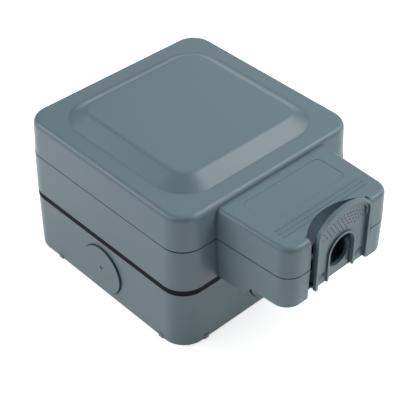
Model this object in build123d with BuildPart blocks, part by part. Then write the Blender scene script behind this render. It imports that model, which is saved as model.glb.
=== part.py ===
from build123d import *
from math import atan2, cos, hypot, radians, sin, tan
import os

os.makedirs("parts", exist_ok=True)

# Weatherproof fused spur, in millimetres. It lies on its back: +Z points out of the wall,
# -Y points to the snout and +Y to the hinge. The origin is the centre of the rear face.

# How far a cut or a joined piece runs past the face that it meets, and the fit of sizes
overrun = 1.0
tolerance = 0.01

# Case outline
case_width = 92.0
case_corner_radius = 10.0
case_wall = 2.4
box_oversize = 0.3
box_edge_fillet = 1.5
frame_flare = 1.25
lid_draft = 2.3

# Heights, from the wall to the top of the lid
foot_height = 1.0
box_depth = 25.9
box_floor = 2.5
gasket_thickness = 2.1
gasket_inset = 0.3
frame_depth = 18.3
seam_gap = 0.4
lid_depth = 15.1
lid_edge_fillet = 2.3

# Cushion-shaped pad on the lid
pad_width = 70.8
pad_corner_radius = 13.0
pad_height = 4.0
pad_slope = 50.0
pad_blend = 6.0

# Snout below the case, split along the seam like the case
snout_reach = 34.5
snout_root_width = 57.4
snout_end_width = 53.8
snout_corner_radius = 7.0
snout_top_drop = 2.0
snout_depth = 14.0
snout_draft = 1.3
snout_edge_fillet = 2.0
snout_wall = 2.0
snout_bury = 8.0
root_reach = 13.4
root_slope_run = 3.5
neck_width = 40.0
neck_overrun = 5.0

# Panel and ridges on top of the snout
badge_width = 40.0
badge_height = 14.5
badge_from_case = 3.5
badge_corner_radius = 2.5
badge_depth = 0.12
ridge_length = 43.5
ridge_width = 0.6
ridge_height = 0.15
ridge_pitch = 2.05
ridge_from_case = 22.0
ridge_count = 3

# Latch plate
opening_width = 32.2
plate_width = 28.0
plate_top_radius = 18.0
plate_top_centre_z = 50.7
plate_shoulder_radius = 5.0
plate_bottom_z = 36.4
plate_thickness = 1.2
plate_edge_slope = 50.0
rim_width = 1.2
rim_height = 1.4
rim_step_width = 1.1
rim_step_height = 0.7
rim_step_bottom_z = 57.5
arch_width = 12.8
arch_centre_z = 48.0
arch_rim_width = 0.9
arch_rim_height = 0.7
flange_thickness = 1.2
flange_inset = 1.0
flange_depth = 1.8
flange_top_depth = 0.7
flange_taper_bottom_z = 41.0
flange_taper_top_z = 45.0
flange_top_z = 57.5
trunnion_radius = 0.9
trunnion_z = 37.4
trunnion_setback = 1.5
trunnion_clearance = 0.05
trunnion_grip = 1.1
foot_pocket_width = 4.0
foot_pocket_centre_x = 10.15
foot_pocket_top_z = 41.4
foot_pocket_height = 2.6
foot_pocket_depth = 1.0

# Grip dimples in rows along the top of the latch plate
dimple_radius = 0.3
dimple_depth = 0.25
dimple_pitch = 1.75
dimple_rows = 5
dimple_row_pitch = 1.5
dimple_first_radius = 17.9
dimple_centre_z = 45.0
dimple_field_radius = 11.9
dimple_field_centre_z = 53.8
dimple_bottom_z = 56.5
dimple_row_half_count = 8

# Opening behind the latch plate
wall_setback = 1.35
wall_width = 22.6
outlet_wall = 1.5
channel_depth = 3.5
well_width = 30.6
well_depth = 9.0
well_wall = 2.0
leg_relief_width = 12.4
leg_relief_bottom_z = 36.0
leg_relief_top_z = 38.9
lower_lip_height = 2.1
lower_lip_run = 1.25

# Flex outlet and clamp
outlet_radius = 5.65
outlet_z = 44.6
clamp_setback = 4.6
clamp_length = 26.0
clamp_width = 6.4
clamp_thickness = 2.4
clamp_screw_spacing = 19.0
clamp_seat_z = 43.6
clamp_arch_radius = 5.0
clamp_post_radius = 3.2
clamp_screw_radius = 1.2
clamp_screw_head_radius = 2.4
clamp_screw_head_height = 1.7
clamp_screw_length = 9.0
saddle_top_z = 39.3
saddle_thickness = 2.0

# Deck, drip rim and seal
deck_thickness = 2.5
deck_drop = 3.8
drip_rim_wall = 1.6
drip_rim_gap = 1.9
drip_rim_corner_radius = 6.0
seal_clearance = 0.3
seal_thickness = 3.0
seal_overlap = 0.7
seal_rib_wall = 1.2
seal_rib_height = 2.2
seal_rib_root = 0.5

# Knockouts in the sides and back of the rear box
knockout_radius = 11.2
knockout_height = 1.1
knockout_z = 12.3
knockout_web = 0.8
knockout_groove = 1.0
knockout_ring_inset = 2.0
knockout_ring_lift = 1.0
knockout_mark_radius = 0.7
knockout_mark_depth = 0.3
rear_knockout_radius = 10.0

# Wall fixing, feet and screw pillars
wall_hole_spacing_x = 60.0
wall_hole_spacing_y = 40.0
wall_hole_radius = 2.4
wall_boss_radius = 4.6
foot_spacing = 59.0
foot_width = 4.0
foot_length = 5.0
pillar_inset = 10.5
pillar_radius = 4.2
pillar_web_length = 9.5
pillar_web_width = 6.3
pillar_web_shift = 3.5
frame_screw_radius = 2.0
frame_screw_length = 30.0
frame_screw_head_radius = 3.5
frame_screw_head_height = 2.4
screw_seal_thickness = 1.0
screw_spare_depth = 2.0
hole_clearance = 0.3
thread_clearance = 0.05
slot_depth = 0.8

# Hinge at the back edge
hinge_offset = 3.8
hinge_z = 47.5
hinge_spacing = 50.0
knuckle_radius = 3.2
hinge_pin_radius = 1.25
frame_web_drop = 10.2
lid_web_rise = 9.2
lid_knuckle_length = 9.0
frame_knuckle_length = 4.0
knuckle_gap = 0.3
pin_clearance = 0.05

# Wiring module behind the frame
module_width = 50.8
module_end_margin = 3.6
module_depth = 24.5
module_wall = 1.6
module_clearance = 0.6
module_corner_radius = 3.0
middle_floor_drop = 12.0
middle_floor_thickness = 1.5
module_gasket_thickness = 1.0
faceplate_width = 69.0
faceplate_screw_gap = 1.0
faceplate_thickness = 3.0
faceplate_corner_radius = 3.0
faceplate_edge_fillet = 0.8
fixing_inset = 4.35
module_screw_radius = 1.75
module_screw_head_radius = 3.2
module_screw_head_height = 1.6
module_screw_length = 14.0
module_boss_radius = 3.6
module_boss_length = 8.0
housing_screw_x = 1.0
housing_screw_from_neon = 9.0
housing_screw_radius = 1.25
housing_screw_head_radius = 2.5
housing_screw_head_height = 1.6
housing_screw_length = 12.0
housing_post_radius = 2.4
housing_post_length = 6.0
core_width = 45.0
core_wall = 2.5

# Switch
rocker_x = -13.0
rocker_width = 17.6
rocker_swing_radius = 14.7
rocker_axis_z = 45.4
rocker_top = 4.5
rocker_skirt = 4.2
rocker_tilt = 8.0
rocker_roof = 2.0
rocker_shell = 1.6
rocker_dish_radius = 60.0
rocker_dish_depth = 0.8
rocker_clearance = 0.3
rocker_pivot_radius = 1.5
rocker_pivot_length = 1.6
rocker_lug_length = 6.0
rocker_lug_height = 2.0
pole_spacing = 8.0
plunger_radius = 1.2
plunger_nose_radius = 0.6
plunger_reach = 8.6
plunger_shoulder = 6.2
plunger_top = 2.8
guide_wall = 0.8
guide_length = 5.2
spring_wire_radius = 0.15
spring_radius = 0.9
spring_turns = 4
bridge_length = 18.0
bridge_width = 3.0
bridge_thickness = 0.8
bridge_axis_z = 36.2
contact_gap = 0.1
contact_tip_radius = 1.2
contact_tip_height = 0.4
contact_tip_y = 8.0
strip_thickness = 0.8

# Fuse and its carrier
fuse_x = 14.0
fuse_radius = 3.175
fuse_length = 25.4
fuse_cap_length = 6.0
fuse_cap_thickness = 0.3
fuse_z = 40.3
carrier_width = 11.4
carrier_height = 33.4
carrier_flange_width = 14.0
carrier_flange_height = 37.0
carrier_flange_thickness = 1.8
carrier_edge_fillet = 0.6
carrier_corner_radius = 2.4
carrier_notch_width = 7.0
carrier_notch_depth = 1.2
carrier_clearance = 0.3
carrier_seat_gap = 0.1
carrier_floor_z = 36.6
fuse_clearance = 0.1
clip_thickness = 0.5
clip_width = 4.0
clip_y = 10.0
clip_height = 10.3
clip_clearance = 0.08
clip_relief = 0.3

# Neon
neon_x = 1.0
neon_inset = 7.4
neon_radius = 2.4
neon_proud = 0.7
neon_flange = 0.8
neon_edge_fillet = 0.65
neon_lamp_radius = 1.7

# Terminals
terminal_width = 8.0
terminal_depth = 9.0
terminal_height = 9.5
terminal_clearance = 0.3
terminal_spacing_x = 17.0
terminal_inset = 6.9
terminal_bore_radius = 1.8
terminal_screw_radius = 1.75
terminal_screw_head_radius = 2.6
terminal_screw_head_height = 1.6
wire_bore_drop = 4.0
wire_entry_radius = 2.3
box_earth_inset = 11.0
box_earth_plinth = 2.5

# Heights and positions that follow
box_width = case_width + 2 * box_oversize
box_rim_z = foot_height + box_depth
box_floor_top_z = foot_height + box_floor
frame_base_z = box_rim_z + gasket_thickness
frame_top_z = frame_base_z + frame_depth
frame_base_width = case_width + 2 * frame_depth * tan(radians(frame_flare))
lid_base_z = frame_top_z + seam_gap
lid_top_z = lid_base_z + lid_depth
lid_ceiling_z = lid_top_z - case_wall
case_edge = case_width / 2
inner_width = case_width - 2 * case_wall
inner_corner_radius = case_corner_radius - case_wall
snout_top_z = lid_top_z - snout_top_drop
snout_bottom_z = frame_top_z - snout_depth
snout_floor_z = snout_bottom_z + snout_wall
neck_floor_z = frame_base_z + snout_wall
front_y = -case_edge - snout_reach
root_y = -case_edge - root_reach
slope_y = root_y - root_slope_run
slope_hollow_shift = snout_wall * tan(radians(22))
channel_y = front_y + channel_depth
wall_y = front_y + wall_setback
barrier_y = front_y + well_depth
barrier_back_y = barrier_y + well_wall
trunnion_y = front_y + trunnion_setback
plate_back_y = front_y + plate_thickness
clamp_y = barrier_back_y + clamp_setback
deck_top_z = frame_top_z - deck_drop
deck_base_z = deck_top_z - deck_thickness
drip_rim_width = inner_width - 2 * drip_rim_gap
drip_rim_top_z = lid_ceiling_z - seal_thickness - seal_clearance
seal_width = drip_rim_width + 2 * seal_overlap
seal_hollow = drip_rim_width - 2 * drip_rim_wall - 2 * seal_overlap
hinge_y = case_edge + hinge_offset
pillar_offset = case_edge - pillar_inset
faceplate_height = 2 * (pillar_offset - frame_screw_head_radius - faceplate_screw_gap)
fixing_centres = faceplate_width - 2 * fixing_inset
module_height = faceplate_height - 2 * module_end_margin
terminal_y = module_height / 2 - terminal_inset
neon_y = module_height / 2 - neon_inset
housing_screw_spacing = 2 * (neon_y - housing_screw_from_neon)
core_height = 2 * (terminal_y - terminal_depth / 2 - core_wall)
box_earth_y = case_edge - box_earth_inset
face_base_z = deck_top_z + module_gasket_thickness
face_top_z = face_base_z + faceplate_thickness
module_base_z = face_base_z - module_depth
middle_floor_z = face_base_z - middle_floor_drop
middle_ceiling_z = middle_floor_z - middle_floor_thickness
terminal_top_z = middle_ceiling_z
terminal_base_z = terminal_top_z - terminal_height
wire_z = terminal_top_z - wire_bore_drop
strip_top_z = middle_floor_z + strip_thickness
clip_gap = fuse_radius + clip_clearance


def spread(spacing_x, spacing_y):
    """Four points at the corners of a rectangle."""
    return [(x * spacing_x / 2, y * spacing_y / 2) for x in (-1, 1) for y in (-1, 1)]


pillar_points = spread(2 * pillar_offset, 2 * pillar_offset)
wall_points = spread(wall_hole_spacing_x, wall_hole_spacing_y)
module_screw_points = [(-fixing_centres / 2, 0), (fixing_centres / 2, 0)]
housing_screw_points = [(housing_screw_x, y * housing_screw_spacing / 2) for y in (-1, 1)]
clamp_points = [(x * clamp_screw_spacing / 2, clamp_y) for x in (-1, 1)]
pole_points = [rocker_x - pole_spacing / 2, rocker_x + pole_spacing / 2]
neutral_x, live_x, earth_x = -terminal_spacing_x, 0.0, terminal_spacing_x
supply_points = [(neutral_x, terminal_y), (live_x, terminal_y)]
load_points = [(neutral_x, -terminal_y), (live_x, -terminal_y)]
earth_points = [(earth_x, terminal_y), (earth_x, -terminal_y)]
terminal_points = supply_points + load_points + earth_points


def upright(y):
    """Plane across the snout: local X is X, local Y is the height and the normal is -Y."""
    return Plane(origin=(0, y, 0), x_dir=(1, 0, 0), z_dir=(0, -1, 0))


def lengthwise(x):
    """Plane along the case: local X is Y, local Y is the height and the normal is +X."""
    return Plane(origin=(x, 0, 0), x_dir=(0, 1, 0), z_dir=(1, 0, 0))


def snout_plan(inset, end_y, start_y):
    """Tapering outline of the snout, from start_y inside the case to end_y."""
    root = snout_root_width / 2 - inset
    end = snout_end_width / 2 - inset
    with BuildLine() as outline:
        FilletPolyline(
            (-root, start_y),
            (-root, -case_edge),
            (-end, end_y),
            (end, end_y),
            (root, -case_edge),
            (root, start_y),
            radius=snout_corner_radius - inset,
            close=True,
        )
    make_face(outline.edges())


def opening_plan(outset, mode=Mode.ADD):
    """Opening for the latch plate in the lid, with its side notches and finger well."""
    half = opening_width / 2 + outset
    well = well_width / 2 + outset
    notch_y = channel_y + outset
    with BuildLine() as outline:
        Line((-well, notch_y), (-half, notch_y))
        Line((-half, notch_y), (-half, front_y - overrun))
        Line((-half, front_y - overrun), (half, front_y - overrun))
        Line((half, front_y - overrun), (half, notch_y))
        Line((half, notch_y), (well, notch_y))
        ThreePointArc((well, notch_y), (0, barrier_y + outset), (-well, notch_y))
    make_face(outline.edges(), mode=mode)


def plate_outline(inset, bottom_z, mode=Mode.ADD):
    """Outline of the latch plate on an upright plane: a shallow arch with round shoulders."""
    half = plate_width / 2 - inset
    top_radius = plate_top_radius - inset
    shoulder_radius = plate_shoulder_radius - inset
    centre_x = plate_width / 2 - plate_shoulder_radius
    reach = plate_top_radius - plate_shoulder_radius
    rise = (reach**2 - centre_x**2) ** 0.5
    shoulder_z = plate_top_centre_z + rise
    middle = atan2(rise, centre_x) / 2
    bend_x = centre_x + shoulder_radius * cos(middle)
    bend_z = shoulder_z + shoulder_radius * sin(middle)
    end_x = top_radius * centre_x / reach
    end_z = plate_top_centre_z + top_radius * rise / reach
    with BuildLine() as outline:
        Polyline((-half, shoulder_z), (-half, bottom_z), (half, bottom_z), (half, shoulder_z))
        ThreePointArc((half, shoulder_z), (bend_x, bend_z), (end_x, end_z))
        ThreePointArc((end_x, end_z), (0, plate_top_centre_z + top_radius), (-end_x, end_z))
        ThreePointArc((-end_x, end_z), (-bend_x, bend_z), (-half, shoulder_z))
    make_face(outline.edges(), mode=mode)


def arch_outline(outset, bottom_z, mode=Mode.ADD):
    """Arch in the latch plate on an upright plane."""
    half = arch_width / 2 + outset
    with BuildLine() as outline:
        Polyline((-half, arch_centre_z), (-half, bottom_z), (half, bottom_z), (half, arch_centre_z))
        ThreePointArc((half, arch_centre_z), (0, arch_centre_z + half), (-half, arch_centre_z))
    make_face(outline.edges(), mode=mode)


def corner_posts():
    """Round posts for the frame screws, tied to the corners of the case."""
    for x, y in pillar_points:
        with Locations((x, y)):
            Circle(pillar_radius)
        shift = pillar_web_shift * (1 if x > 0 else -1), pillar_web_shift * (1 if y > 0 else -1)
        with Locations((x + shift[0], y + shift[1])):
            Rectangle(pillar_web_length, pillar_web_width, rotation=45 if x * y > 0 else -45)


def knuckle_outline(tip_z, foot_z):
    """Hinge knuckle seen from the side, with its web running down to foot_z at the case."""
    slant = knuckle_radius * sin(radians(45)) * (1 if foot_z > hinge_z else -1)
    with Locations((hinge_y, hinge_z)):
        Circle(knuckle_radius)
    with BuildLine() as outline:
        Polyline(
            (case_edge - overrun, tip_z),
            (hinge_y, tip_z),
            (hinge_y + abs(slant), hinge_z + slant),
            (case_edge - overrun, foot_z),
            close=True,
        )
    make_face(outline.edges())
    with Locations((hinge_y, hinge_z)):
        Circle(hinge_pin_radius + pin_clearance, mode=Mode.SUBTRACT)


# Rear box
with BuildPart() as rear_box:
    with BuildSketch(Plane.XY.offset(foot_height)):
        RectangleRounded(box_width, box_width, case_corner_radius)
    extrude(amount=box_depth)
    fillet(rear_box.faces().sort_by(Axis.Z)[0].edges(), box_edge_fillet)
    for angle in (0, 90, 180, 270):
        side = Plane(
            origin=(0, 0, knockout_z),
            x_dir=(-sin(radians(angle)), cos(radians(angle)), 0),
            z_dir=(cos(radians(angle)), sin(radians(angle)), 0),
        )
        with BuildSketch(side.offset(box_width / 2 - case_wall)):
            Circle(knockout_radius)
        extrude(amount=case_wall + knockout_height)
    with BuildSketch(Plane.XY.offset(box_floor_top_z)):
        RectangleRounded(
            box_width - 2 * case_wall, box_width - 2 * case_wall, inner_corner_radius
        )
    extrude(amount=box_depth, mode=Mode.SUBTRACT)
    # Feet, bosses round the wall holes and the knockout in the back, all in the rear plane
    with BuildSketch():
        Circle(rear_knockout_radius)
        with Locations(*wall_points):
            Circle(wall_boss_radius)
        with Locations(*spread(foot_spacing, box_width - 2 * foot_length)):
            Rectangle(foot_width, foot_length)
        with Locations(*spread(box_width - 2 * foot_length, foot_spacing)):
            Rectangle(foot_length, foot_width)
    extrude(amount=foot_height + box_floor / 2)
    with BuildSketch(Plane.XY.offset(foot_height + box_floor / 2)):
        corner_posts()
    extrude(amount=box_rim_z - foot_height - box_floor / 2)
    with BuildSketch(Plane.XY.offset(foot_height + box_floor / 2)):
        with Locations((0, box_earth_y)):
            Rectangle(terminal_width, terminal_depth)
    extrude(amount=box_floor / 2 + box_earth_plinth)
    with BuildSketch(Plane.XY.offset(box_rim_z)):
        with Locations(*pillar_points):
            Circle(frame_screw_radius + thread_clearance)
    screw_tip_z = deck_top_z + screw_seal_thickness - frame_screw_length
    extrude(amount=screw_tip_z - screw_spare_depth - box_rim_z, mode=Mode.SUBTRACT)
    with BuildSketch():
        with Locations(*wall_points):
            Circle(wall_hole_radius)
    extrude(amount=box_rim_z, mode=Mode.SUBTRACT)
    # Thin rings that let the knockouts break out
    for angle in (0, 90, 180, 270):
        side = Plane(
            origin=(0, 0, knockout_z + knockout_ring_lift),
            x_dir=(-sin(radians(angle)), cos(radians(angle)), 0),
            z_dir=(cos(radians(angle)), sin(radians(angle)), 0),
        )
        with BuildSketch(side.offset(box_width / 2 - case_wall)):
            ring_radius = knockout_radius - knockout_ring_inset
            Circle(ring_radius)
            Circle(ring_radius - knockout_groove, mode=Mode.SUBTRACT)
        extrude(amount=case_wall - knockout_web, mode=Mode.SUBTRACT)
        with BuildSketch(side.offset(box_width / 2 + knockout_height)):
            Circle(knockout_mark_radius)
        extrude(amount=-knockout_mark_depth, mode=Mode.SUBTRACT)
    with BuildSketch(Plane.XY.offset(foot_height + knockout_web)):
        Circle(rear_knockout_radius)
        Circle(rear_knockout_radius - knockout_groove, mode=Mode.SUBTRACT)
    extrude(amount=box_floor, mode=Mode.SUBTRACT)
rear_box.part.label = "rear_box"

# Rubber ring between the rear box and the front frame
with BuildPart() as box_gasket:
    with BuildSketch(Plane.XY.offset(box_rim_z)):
        gasket_width = box_width - 2 * gasket_inset
        RectangleRounded(gasket_width, gasket_width, case_corner_radius - gasket_inset)
        RectangleRounded(inner_width, inner_width, inner_corner_radius, mode=Mode.SUBTRACT)
        corner_posts()
        with Locations(*pillar_points):
            Circle(frame_screw_radius + hole_clearance, mode=Mode.SUBTRACT)
    extrude(amount=gasket_thickness)
box_gasket.part.label = "box_gasket"

# Hollow of the lower half of the snout, with the room that the latch tower leaves
with BuildPart() as lower_hollow:
    with BuildSketch(Plane.XY.offset(neck_floor_z)):
        snout_plan(snout_wall, front_y + snout_wall, -case_edge + snout_bury)
        with Locations((0, -case_edge + snout_bury)):
            Rectangle(snout_root_width, 2 * snout_bury, mode=Mode.SUBTRACT)
        with BuildLine():
            tower = opening_width / 2 + well_wall
            Polyline(
                (-tower, front_y),
                (-tower, barrier_back_y),
                (tower, barrier_back_y),
                (tower, front_y),
                close=True,
            )
        make_face(mode=Mode.SUBTRACT)
        with Locations((0, (wall_y + outlet_wall + barrier_y) / 2)):
            Rectangle(wall_width - 2 * outlet_wall, barrier_y - wall_y - outlet_wall)
    extrude(amount=frame_depth)
    with BuildSketch(lengthwise(0)):
        with BuildLine():
            Polyline(
                (front_y, snout_floor_z),
                (slope_y + slope_hollow_shift, snout_floor_z),
                (root_y + slope_hollow_shift, neck_floor_z),
                (front_y, neck_floor_z),
                close=True,
            )
        make_face()
    extrude(amount=snout_root_width, both=True, mode=Mode.SUBTRACT)

# Front frame
with BuildPart() as front_frame:
    with BuildSketch(Plane.XY.offset(frame_base_z)):
        RectangleRounded(frame_base_width, frame_base_width, case_corner_radius)
    extrude(amount=frame_depth, taper=frame_flare)
    with BuildSketch(Plane.XY.offset(frame_base_z)):
        draft_inset = frame_depth * tan(radians(snout_draft))
        snout_plan(draft_inset, front_y + draft_inset, -case_edge + snout_bury)
    extrude(amount=frame_depth, taper=-snout_draft)
    with BuildSketch(lengthwise(0)):
        with BuildLine():
            Polyline(
                (front_y - overrun, snout_bottom_z),
                (slope_y, snout_bottom_z),
                (root_y, frame_base_z),
                (root_y, frame_base_z - overrun),
                (front_y - overrun, frame_base_z - overrun),
                close=True,
            )
        make_face()
    extrude(amount=snout_root_width, both=True, mode=Mode.SUBTRACT)
    # Wiring space below the deck and the sunken deck itself
    with BuildSketch(Plane.XY.offset(frame_base_z)):
        RectangleRounded(inner_width, inner_width, inner_corner_radius)
    extrude(amount=deck_base_z - frame_base_z, mode=Mode.SUBTRACT)
    with BuildSketch(Plane.XY.offset(deck_top_z)):
        RectangleRounded(inner_width, inner_width, inner_corner_radius)
    extrude(amount=deck_drop, mode=Mode.SUBTRACT)
    with BuildSketch(Plane.XY.offset(frame_base_z)):
        corner_posts()
        with Locations(*pillar_points):
            Circle(frame_screw_radius + hole_clearance, mode=Mode.SUBTRACT)
    extrude(amount=deck_base_z - frame_base_z)
    with BuildSketch(Plane.XY.offset(deck_base_z)):
        with Locations(*module_screw_points):
            Circle(module_boss_radius)
    extrude(amount=-module_boss_length)
    with BuildSketch(Plane.XY.offset(deck_top_z)):
        rim_corner = drip_rim_corner_radius
        RectangleRounded(drip_rim_width, drip_rim_width, rim_corner + drip_rim_wall)
        rim_inner = drip_rim_width - 2 * drip_rim_wall
        RectangleRounded(rim_inner, rim_inner, rim_corner, mode=Mode.SUBTRACT)
    extrude(amount=drip_rim_top_z - deck_top_z)
    with BuildSketch(Plane.XY.offset(deck_top_z)):
        RectangleRounded(
            module_width + 2 * module_clearance,
            module_height + 2 * module_clearance,
            module_corner_radius + module_clearance,
        )
        with Locations(*pillar_points):
            Circle(frame_screw_radius + hole_clearance)
        with Locations(*module_screw_points):
            Circle(module_screw_radius + thread_clearance)
    extrude(amount=-deck_thickness - module_boss_length, mode=Mode.SUBTRACT)
    # Snout: its hollow, the neck into the case, the latch opening and the flex outlet
    add(lower_hollow.part, mode=Mode.SUBTRACT)
    with BuildSketch(Plane.XY.offset(neck_floor_z)):
        neck_start = -inner_width / 2 + overrun
        neck_end = -case_edge - neck_overrun
        with Locations((0, (neck_start + neck_end) / 2)):
            Rectangle(neck_width, neck_start - neck_end)
    extrude(amount=deck_base_z - neck_floor_z, mode=Mode.SUBTRACT)
    with BuildSketch(Plane.XY.offset(frame_base_z)):
        with Locations((0, front_y)):
            Rectangle(opening_width, 2 * wall_setback)
        channel_width = (opening_width - wall_width) / 2
        with Locations(*[(x * (opening_width - channel_width) / 2, front_y) for x in (-1, 1)]):
            Rectangle(channel_width, 2 * channel_depth)
    extrude(amount=frame_depth, mode=Mode.SUBTRACT)
    with BuildSketch(upright(barrier_back_y + overrun)):
        with Locations((0, outlet_z)):
            Circle(outlet_radius)
    extrude(amount=snout_reach, mode=Mode.SUBTRACT)
    relief_height = leg_relief_top_z - leg_relief_bottom_z
    with BuildSketch(upright(wall_y + outlet_wall)):
        with Locations((0, leg_relief_bottom_z + relief_height / 2)):
            Rectangle(wall_width, relief_height)
            Rectangle(leg_relief_width, relief_height, mode=Mode.SUBTRACT)
    extrude(amount=outlet_wall, mode=Mode.SUBTRACT)
    # Chamfer under the front wall, and a socket in each cheek for the latch's trunnions
    with BuildSketch(lengthwise(0)):
        with BuildLine():
            Polyline(
                (front_y, snout_bottom_z + lower_lip_height),
                (wall_y, snout_bottom_z + lower_lip_height),
                (wall_y + lower_lip_run, snout_bottom_z),
                (front_y, snout_bottom_z),
                close=True,
            )
        make_face()
    extrude(amount=opening_width / 2, both=True, mode=Mode.SUBTRACT)
    socket_depth = (opening_width - wall_width) / 2 + trunnion_grip + hole_clearance
    for side_sign in (-1, 1):
        with BuildSketch(lengthwise(side_sign * wall_width / 2)):
            with Locations((trunnion_y, trunnion_z)):
                Circle(trunnion_radius + trunnion_clearance)
        extrude(amount=side_sign * socket_depth, mode=Mode.SUBTRACT)
    # Posts and saddle for the flex clamp
    post_base_z = snout_floor_z - overrun
    with BuildSketch(Plane.XY.offset(post_base_z)):
        with Locations(*clamp_points):
            Circle(clamp_post_radius)
            Circle(clamp_screw_radius + thread_clearance, mode=Mode.SUBTRACT)
    extrude(amount=clamp_seat_z - post_base_z)
    with BuildSketch(Plane.XY.offset(post_base_z)):
        with Locations((0, clamp_y)):
            saddle_length = clamp_screw_spacing - 2 * clamp_post_radius + overrun
            Rectangle(saddle_length, saddle_thickness)
    extrude(amount=saddle_top_z - post_base_z)
    # Hinge knuckles
    for centre_x in (-hinge_spacing / 2, hinge_spacing / 2):
        for side_sign in (-1, 1):
            reach = lid_knuckle_length / 2 + knuckle_gap + frame_knuckle_length / 2
            knuckle_x = centre_x + side_sign * reach
            with BuildSketch(lengthwise(knuckle_x - frame_knuckle_length / 2)):
                knuckle_outline(frame_top_z, hinge_z - frame_web_drop)
            extrude(amount=frame_knuckle_length)
front_frame.part.label = "front_frame"

# Upper half of the snout as a free form, so that its edges can be rounded
with BuildPart() as snout_form:
    with BuildSketch(Plane.XY.offset(lid_base_z)):
        snout_plan(0, front_y, -case_edge + snout_bury)
    extrude(amount=snout_top_z - lid_base_z, taper=snout_draft)
    fillet(snout_form.faces().sort_by(Axis.Z)[-1].edges(), snout_edge_fillet)
    badge_y = -case_edge - badge_from_case - badge_height / 2
    with BuildSketch(Plane.XY.offset(snout_top_z)):
        with Locations((0, badge_y)):
            RectangleRounded(badge_width, badge_height, badge_corner_radius)
    extrude(amount=-badge_depth, mode=Mode.SUBTRACT)
    with BuildSketch(Plane.XY.offset(snout_top_z - ridge_height)):
        for index in range(ridge_count):
            with Locations((0, -case_edge - ridge_from_case - index * ridge_pitch)):
                Rectangle(ridge_length, ridge_width)
    extrude(amount=2 * ridge_height)

# Hollow of the lid
with BuildPart() as lid_hollow:
    with BuildSketch(Plane.XY.offset(lid_base_z)):
        RectangleRounded(inner_width, inner_width, inner_corner_radius)
    extrude(amount=lid_ceiling_z - lid_base_z, taper=lid_draft)
    with BuildSketch(Plane.XY.offset(lid_ceiling_z)):
        pocket_width = pad_width - 2 * case_wall * tan(radians(pad_slope / 2))
        RectangleRounded(pocket_width, pocket_width, pad_corner_radius - case_wall / 2)
    extrude(amount=pad_height, taper=pad_slope)
    with BuildSketch(Plane.XY.offset(lid_base_z)):
        snout_plan(snout_wall, front_y + snout_wall, -case_edge + snout_bury)
        opening_plan(well_wall, mode=Mode.SUBTRACT)
    extrude(amount=snout_top_z - snout_wall - lid_base_z)

# Lid
with BuildPart() as lid:
    with BuildSketch(Plane.XY.offset(lid_base_z)):
        RectangleRounded(case_width, case_width, case_corner_radius)
    extrude(amount=lid_depth, taper=lid_draft)
    fillet(lid.faces().sort_by(Axis.Z)[-1].edges(), lid_edge_fillet)
    with BuildSketch(Plane.XY.offset(lid_top_z)):
        RectangleRounded(pad_width, pad_width, pad_corner_radius)
    extrude(amount=pad_height, taper=pad_slope)
    pad_top = lid.faces().sort_by(Axis.Z)[-1]
    fillet(pad_top.edges(), pad_blend)
    pad_foot = [
        edge
        for edge in lid.edges()
        if abs(edge.center().Z - lid_top_z) < tolerance
        and edge.bounding_box().size.Z < tolerance
        and max(abs(edge.center().X), abs(edge.center().Y)) < pad_width / 2 + tolerance
    ]
    fillet(pad_foot, pad_blend)
    add(snout_form.part)
    add(lid_hollow.part, mode=Mode.SUBTRACT)
    with BuildSketch(Plane.XY.offset(lid_base_z)):
        opening_plan(0)
    extrude(amount=lid_depth, mode=Mode.SUBTRACT)
    with BuildSketch(upright(barrier_back_y + overrun)):
        with Locations((0, outlet_z)):
            Circle(outlet_radius)
    extrude(amount=snout_reach, mode=Mode.SUBTRACT)
    # Low rib that keeps the seal in place
    with BuildSketch(Plane.XY.offset(lid_ceiling_z + seal_rib_root)):
        seal_corner = drip_rim_corner_radius - seal_overlap
        RectangleRounded(seal_hollow, seal_hollow, seal_corner)
        rib_hollow = seal_hollow - 2 * seal_rib_wall
        RectangleRounded(rib_hollow, rib_hollow, seal_corner - seal_rib_wall, mode=Mode.SUBTRACT)
    extrude(amount=-seal_rib_height - seal_rib_root)
    for centre_x in (-hinge_spacing / 2, hinge_spacing / 2):
        with BuildSketch(lengthwise(centre_x - lid_knuckle_length / 2)):
            knuckle_outline(lid_base_z, hinge_z + lid_web_rise)
        extrude(amount=lid_knuckle_length)
lid.part.label = "lid"

# Soft ring under the lid, over the drip rim
with BuildPart() as lid_seal:
    with BuildSketch(Plane.XY.offset(lid_ceiling_z - seal_thickness)):
        outer_corner = drip_rim_corner_radius + drip_rim_wall + seal_overlap
        RectangleRounded(seal_width, seal_width, outer_corner)
        RectangleRounded(seal_hollow, seal_hollow, seal_corner, mode=Mode.SUBTRACT)
    extrude(amount=seal_thickness)
lid_seal.part.label = "lid_seal"

# Hinge pins
with BuildPart() as hinge_pins:
    pin_length = lid_knuckle_length + 2 * (knuckle_gap + frame_knuckle_length)
    for centre_x in (-hinge_spacing / 2, hinge_spacing / 2):
        with BuildSketch(lengthwise(centre_x - pin_length / 2)):
            with Locations((hinge_y, hinge_z)):
                Circle(hinge_pin_radius)
        extrude(amount=pin_length)
hinge_pins.part.label = "hinge_pins"

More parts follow.
